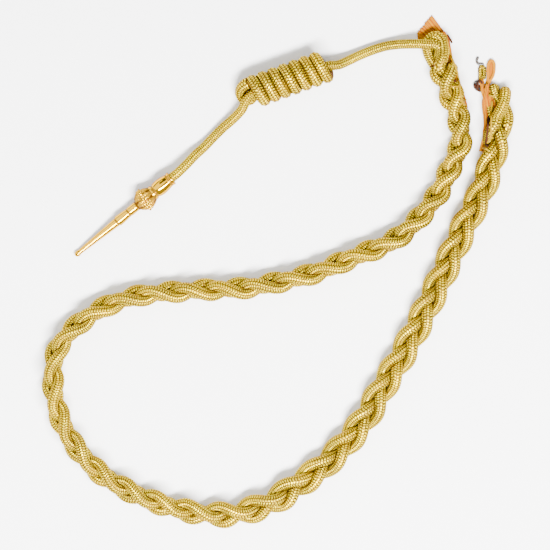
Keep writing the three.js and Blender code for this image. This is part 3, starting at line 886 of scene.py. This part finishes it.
class AIGUILLETTE_OT_tag(bpy.types.Operator):
    """Draws the cast metal tag with its ring of leaves"""
    bl_idname = "aiguillette.tag"
    bl_label = "Metal tag"

    def leaf_height(self, along, angle, foot, tip, turn, count):
        """How far a ring of curled leaves rises there, from 0 to 1. The leaves grow from foot
        to tip, as shares of the tag's length, and the ring is turned by a share of a leaf."""
        grown = (along - foot) / (tip - foot)
        inside = np.clip(grown, 0, 1)
        across = (angle * count / (2 * np.pi) + turn) % 1 - 0.5
        half = 0.5 * np.sqrt(1 - inside**4) * (0.72 + 0.28 * np.sin(np.pi * inside))
        half = half * (0.9 + 0.1 * np.cos(2 * np.pi * 3 * inside)) + 1e-4
        side = np.abs(across) / half
        body = np.sqrt(np.clip(1 - side**3, 0, 1))
        rib = 1 - 0.4 * np.exp(-(across / 0.05)**2)
        veins = 0.88 + 0.12 * np.cos(2 * np.pi * (5 * inside - 1.2 * side))
        curl = 0.25 + 0.75 * inside**1.4
        return np.where((grown >= 0) & (grown <= 1), curl * body * rib * veins, 0)

    def execute(self, context):
        settings = context.scene.aiguillette_tag
        outline = [(share * TAG_LENGTH, radius) for share, radius in TAG_PROFILE]
        outline += [(TAG_LENGTH, SOCKET_RADIUS + 0.1), (TAG_LENGTH - 0.2, SOCKET_RADIUS),
                    (TAG_LENGTH - SOCKET_DEPTH, SOCKET_RADIUS), (TAG_LENGTH - SOCKET_DEPTH, 0.1)]
        path = evenly(np.array([(*place, 0.0) for place in outline]), 0.06)
        kernel = np.exp(-np.linspace(-2, 2, 9)**2)
        kernel = kernel / kernel.sum()
        padded = np.pad(path, ((4, 4), (0, 0)), mode="edge")
        path = np.stack([np.convolve(padded[:, axis], kernel, "valid") for axis in (0, 1)], axis=1)
        rows = np.arange(len(path))
        fine = (path[:, 0] > FINE_ENDS[0] * TAG_LENGTH) & (path[:, 0] < FINE_ENDS[1] * TAG_LENGTH)
        path = path[(rows % 5 == 0) | (fine & (rows % 2 == 0))]
        angle = 2 * np.pi * np.arange(TAG_SIDES) / TAG_SIDES
        share = path[:, :1] / TAG_LENGTH
        lower = self.leaf_height(share, angle[None], *LOWER_LEAVES, 0, settings.leaves)
        upper = self.leaf_height(share, angle[None], *UPPER_LEAVES, 0.5, settings.leaves)
        outside = (path[:, 1:] > 4.0) | (share < 0.7)
        leaves = np.maximum(lower, upper) * outside
        radius = path[:, 1:] + settings.leaf_relief / MM * leaves
        knob = (share > KNOB_ENDS[0]) & (share < KNOB_ENDS[1])
        grooves = [np.exp(-((share - place) / GROOVE_WIDTH)**2) for place in TAG_GROOVES]
        # Painted shade in the recesses between the knob's leaves and in the grooves
        recess_shade = np.maximum(knob * (1 - leaves / 0.55).clip(0, 1), np.max(grooves, axis=0))
        ring = np.cos(angle)[:, None] * tag_right - np.sin(angle)[:, None] * tag_up
        base = tag_mouth + tag_axis * (path[:, :1] - TAG_LENGTH)
        shell = Shell()
        shell.sweep(base[:, None] + radius[:, :, None] * ring[None], path[:, 0], tone_and_shade=recess_shade.ravel())
        shell.make("cast_tag", tag_material(settings), "polished_metal", "metal_tag")
        return {"FINISHED"}


class AIGUILLETTE_OT_drop_cord(bpy.types.Operator):
    """Draws the single cord, the barrel knot wound round it and the knot's own end"""
    bl_idname = "aiguillette.drop_cord"
    bl_label = "Drop cord and knot"

    def execute(self, context):
        settings = context.scene.aiguillette_cord
        material = bpy.data.materials["knitted gold cord"]
        winding = knot_line(0.2)
        line = drop_cord_line(0.2)
        next_turn = in_knot(KNOT_PITCH, 0, 0) - in_knot(0, 0, 0)
        wraps = knitted_tube(winding, settings.knot_diameter / MM, settings, [line], next_turn)
        wraps = wraps.make("knot_winding", material, "gold_cord", "knot_wraps")
        bight = smooth_line([in_knot(*place) for place in BIGHT], 0.2)
        end = knitted_tube(bight, settings.knot_diameter / MM, settings, [winding, line])
        end = end.make("knot_end", material, "gold_cord", "knot_bight")
        beside = [winding, bight, strand_line(2, 0.3)]
        shell = knitted_tube(line, settings.drop_diameter / MM, settings, beside)
        cord = shell.make("single_cord", material, "gold_cord", "drop_cord")
        return {"FINISHED"}


class AIGUILLETTE_OT_backing(bpy.types.Operator):
    """Draws the orange thread backing, its fan and loop, and the stitches"""
    bl_idname = "aiguillette.backing"
    bl_label = "Thread backing"

    def fan(self, shell, settings, chance):
        """Threads from the fan's outer edge to where they gather, in two layers."""
        edge = evenly(np.array(flat(FAN_EDGE)), 0.1)
        gather = evenly(np.array(flat(FAN_GATHER)), 0.1)
        radius = settings.thickness / MM / 2
        for layer in (0, 1):
            for i in range(FAN_THREADS):
                share = (i + 0.5 * layer) / FAN_THREADS
                start = edge[int(share * (len(edge) - 1))] + (*chance.uniform(-0.3, 0.3, 2), 0)
                stop = gather[int(share**1.1 * (len(gather) - 1))]
                way = stop - start
                bow = np.array([way[1], -way[0], 0]) * FAN_BOW * (1 - share)
                height = radius + layer * FAN_LAYER
                middle = (start + stop) / 2 + bow + (0, 0, height + chance.uniform(0, 0.15))
                places = [start + (0, 0, height), middle, stop + (0, 0, height + 0.2)]
                shell.tube(smooth_line(places, 0.7), radius, tone_and_shade=chance.choice([0.0, 0.2, 1.0]))

    def upper(self, settings, chance):
        """The fan, and the band that runs from it up the plait's left side."""
        shell = Shell()
        self.fan(shell, settings, chance)
        route = UPPER_BAND + [band_beside(along, UPPER_TUCK) for along in UPPER_SHARES]
        band_threads(shell, route, settings, chance, BAND_THREADS)
        inner = [band_beside(along, UPPER_INNER_TUCK) for along in UPPER_SHARES]
        band_threads(shell, UPPER_BAND[:2] + inner, settings, chance, FILL_THREADS)
        band_threads(shell, UPPER_FILL, settings, chance, FILL_THREADS)
        return shell

    def right(self, settings, chance):
        """The band beside the plait's free end, and the loop of thread that it ends in."""
        shell = Shell()
        route = [band_beside(*place) for place in zip(RIGHT_SHARES, RIGHT_TUCKS)]
        band_threads(shell, route + THREAD_LOOP[:2], settings, chance, BAND_THREADS)
        inner = [band_beside(along, RIGHT_INNER_TUCK) for along in RIGHT_SHARES[:3]]
        band_threads(shell, inner + THREAD_LOOP[:1], settings, chance, FILL_THREADS)
        for shift in RIGHT_FILL_SHIFTS:
            route = [(x - shift, y) for x, y in RIGHT_FILL]
            band_threads(shell, route, settings, chance, FILL_THREADS)
        loop = smooth_line(flat(THREAD_LOOP, LOOP_HEIGHT), 0.5)
        run = np.linspace(0, 1, len(loop))
        for i in range(LOOP_PLIES):
            turn = 2 * np.pi * (i / LOOP_PLIES + 3 * run)
            offsets = LOOP_RADIUS * np.stack([np.cos(turn), np.sin(turn)], axis=1)
            shell.tube(spread(loop, offsets), LOOP_PLY, tone_and_shade=chance.uniform(0, 0.5))
        for i in range(WEB_THREADS):
            share = i / (WEB_THREADS - 1)
            places = [(x + width * share, y, z) for x, y, z, width in LOOP_WEB]
            shell.tube(smooth_line(places, 0.6), WEB_THREAD, tone_and_shade=0.7)
        return shell

    def gathered(self, chance):
        """Threads gathered between the stub and the plait, each on its own way."""
        shell = Shell()
        for i in range(GATHERED_THREADS):
            places = [
                (x + chance.uniform(*across), y + chance.uniform(*along), z)
                for (x, y, z), across, along in GATHERED
            ]
            line = smooth_line(places, 0.5)
            shell.tube(line, GATHERED_THREAD, tone_and_shade=chance.uniform(0, 1))
        return shell

    def stitches(self, routes, radius, cords, chance):
        """Pairs of threads draped over the plait's cords, with their ends drawn down."""
        shell = Shell()
        reach = cords.plait_diameter / MM / 2
        lines = [strand_line(index, 0.8) for index in range(len(STRANDS))]
        for least, route in routes:
            course = smooth_line(flat(route), 0.3)
            rest = [max(least, resting_height(x, y, lines, reach)) for x, y, _ in course]
            rest = np.pad(rest, DRAPE - 1, mode="edge")
            peaks = np.lib.stride_tricks.sliding_window_view(rest, DRAPE).max(axis=1)
            run = np.linspace(-1, 1, len(course))
            heights = np.convolve(peaks, np.ones(DRAPE) / DRAPE, "valid")
            heights = heights + radius * (0.7 - 4 * run**4)
            for side in (-0.5, 0.5):
                offsets = np.stack([np.full(len(heights), side * radius * 1.5), heights], axis=1)
                shell.tube(spread(course, offsets), radius, tone_and_shade=chance.uniform(0, 0.6))
        return shell

    def execute(self, context):
        settings = context.scene.aiguillette_thread
        cords = context.scene.aiguillette_cord
        chance = np.random.default_rng(11)
        orange = thread_material("orange thread", settings.orange_colour, settings.deep_colour)
        yellow = thread_material(
            "yellow thread", settings.yellow_colour, settings.yellow_shade, roughness=0.4
        )
        dark = thread_material("dark thread", settings.dark_colour, settings.tarnish_colour)
        upper = self.upper(settings, chance)
        upper.make("upper_backing_threads", orange, "orange_thread", "backing_upper")
        right = self.right(settings, chance)
        right.make("right_backing_threads", orange, "orange_thread", "backing_right")
        self.gathered(chance).make("gathered_threads", orange, "orange_thread")
        shell = self.stitches(YELLOW_STITCHES, YELLOW_THREAD, cords, chance)
        shell.make("yellow_stitches", yellow, "orange_thread")
        shell = self.stitches(DARK_STITCHES, DARK_THREAD, cords, chance)
        shell.make("dark_thread_ends", dark, "orange_thread")
        return {"FINISHED"}


class AIGUILLETTE_OT_findings(bpy.types.Operator):
    """Draws the doubled gold stub and the two wire hooks"""
    bl_idname = "aiguillette.findings"
    bl_label = "Stub and hooks"

    def execute(self, context):
        cords = context.scene.aiguillette_cord
        wire = wire_material(context.scene.aiguillette_thread)
        line = smooth_line(flat(STUB, STUB_HEIGHT), 0.2)
        stub = knitted_tube(line, STUB_CORD, cords, next_turn=STUB_LIMBS)
        gold = bpy.data.materials["knitted gold cord"]
        stub.make("doubled_stub", gold, "gold_cord", "gold_stub")
        for end, route in HOOKS.items():
            shell = Shell()
            shell.tube(smooth_line(flat(route, HOOK_HEIGHT), 0.25), HOOK_WIRE, sides=12)
            shell.make("hook_wire_" + end, wire, "dark_wire", "wire_hook_" + end)
        return {"FINISHED"}


class AIGUILLETTE_OT_stage(bpy.types.Operator):
    """Lays the pale floor, hangs the lights and sets the view from above"""
    bl_idname = "aiguillette.stage"
    bl_label = "Stage"

    def execute(self, context):
        settings = context.scene.aiguillette_stage
        middle = Vector(view_middle)
        bpy.ops.mesh.primitive_plane_add(size=FLOOR_SIZE, location=(0, 0, -FLOOR_DROP))
        floor = context.active_object
        floor.name = "floor"
        shader = Shader("pale floor", base_color=(*settings.floor_colour, 1), roughness=0.9)
        floor.data.materials.append(shader.material)
        for name, place, size, share in LIGHTS:
            light = bpy.data.lights.new(name, "AREA")
            light.shape = "RECTANGLE"
            light.size, light.size_y = size
            light.energy = settings.light_power * share
            lamp = bpy.data.objects.new(name, light)
            context.scene.collection.objects.link(lamp)
            lamp.location = middle + Vector(place)
            lamp.rotation_euler = (-Vector(place)).to_track_quat("-Z", "Y").to_euler()
        place = Vector(CARD_PLACE)
        bpy.ops.mesh.primitive_plane_add(size=CARD_SIZE, location=middle + place)
        card = context.active_object
        card.name = "dark_card"
        card.visible_camera = False
        card.rotation_euler = (Vector(CARD_AIM) - place).to_track_quat("-Z", "Y").to_euler()
        shader = Shader("dark card", base_color=(0.005, 0.005, 0.005, 1))
        card.data.materials.append(shader.material)
        world = bpy.data.worlds.new("soft surround")
        world.use_nodes = True
        background = world.node_tree.nodes["Background"].inputs
        background["Strength"].default_value = settings.surround
        background["Color"].default_value = (1, 1, 1, 1)
        context.scene.world = world
        eye = bpy.data.cameras.new("view_from_above")
        eye.lens = eye.sensor_width * VIEW_HEIGHT / settings.view_width
        eye.clip_end = 10
        camera = bpy.data.objects.new("view_from_above", eye)
        context.scene.collection.objects.link(camera)
        camera.location = middle + Vector((0, 0, VIEW_HEIGHT + PART_MIDDLE))
        context.scene.camera = camera
        return {"FINISHED"}


class AIGUILLETTE_PT_panel(bpy.types.Panel):
    """Lists the pieces that can be drawn, with their sizes and colours"""
    bl_idname = "AIGUILLETTE_PT_panel"
    bl_label = "Aiguillette"
    bl_space_type = "VIEW_3D"
    bl_region_type = "UI"
    bl_category = "Aiguillette"

    def draw(self, context):
        for operator in OPERATORS:
            self.layout.operator(operator.bl_idname)
        for name in SETTINGS:
            box = self.layout.box()
            group = getattr(context.scene, name)
            for key in group.bl_rna.properties.keys():
                if key not in ("rna_type", "name"):
                    box.prop(group, key)


SETTINGS = {
    "aiguillette_cord": CordSettings,
    "aiguillette_tag": TagSettings,
    "aiguillette_thread": ThreadSettings,
    "aiguillette_stage": StageSettings,
}
OPERATORS = [
    AIGUILLETTE_OT_stage,
    AIGUILLETTE_OT_plait,
    AIGUILLETTE_OT_tag,
    AIGUILLETTE_OT_drop_cord,
    AIGUILLETTE_OT_backing,
    AIGUILLETTE_OT_findings,
]


def register():
    for item in [*SETTINGS.values(), *OPERATORS, AIGUILLETTE_PT_panel]:
        bpy.utils.register_class(item)
    for name, group in SETTINGS.items():
        setattr(bpy.types.Scene, name, PointerProperty(type=group))


def unregister():
    for name in SETTINGS:
        delattr(bpy.types.Scene, name)
    for item in reversed([*SETTINGS.values(), *OPERATORS, AIGUILLETTE_PT_panel]):
        bpy.utils.unregister_class(item)


def main():
    register()
    bpy.ops.aiguillette.stage()
    bpy.ops.aiguillette.plait()
    bpy.ops.aiguillette.tag()
    bpy.ops.aiguillette.drop_cord()
    bpy.ops.aiguillette.backing()
    bpy.ops.aiguillette.findings()


if __name__ == "__main__":
    main()
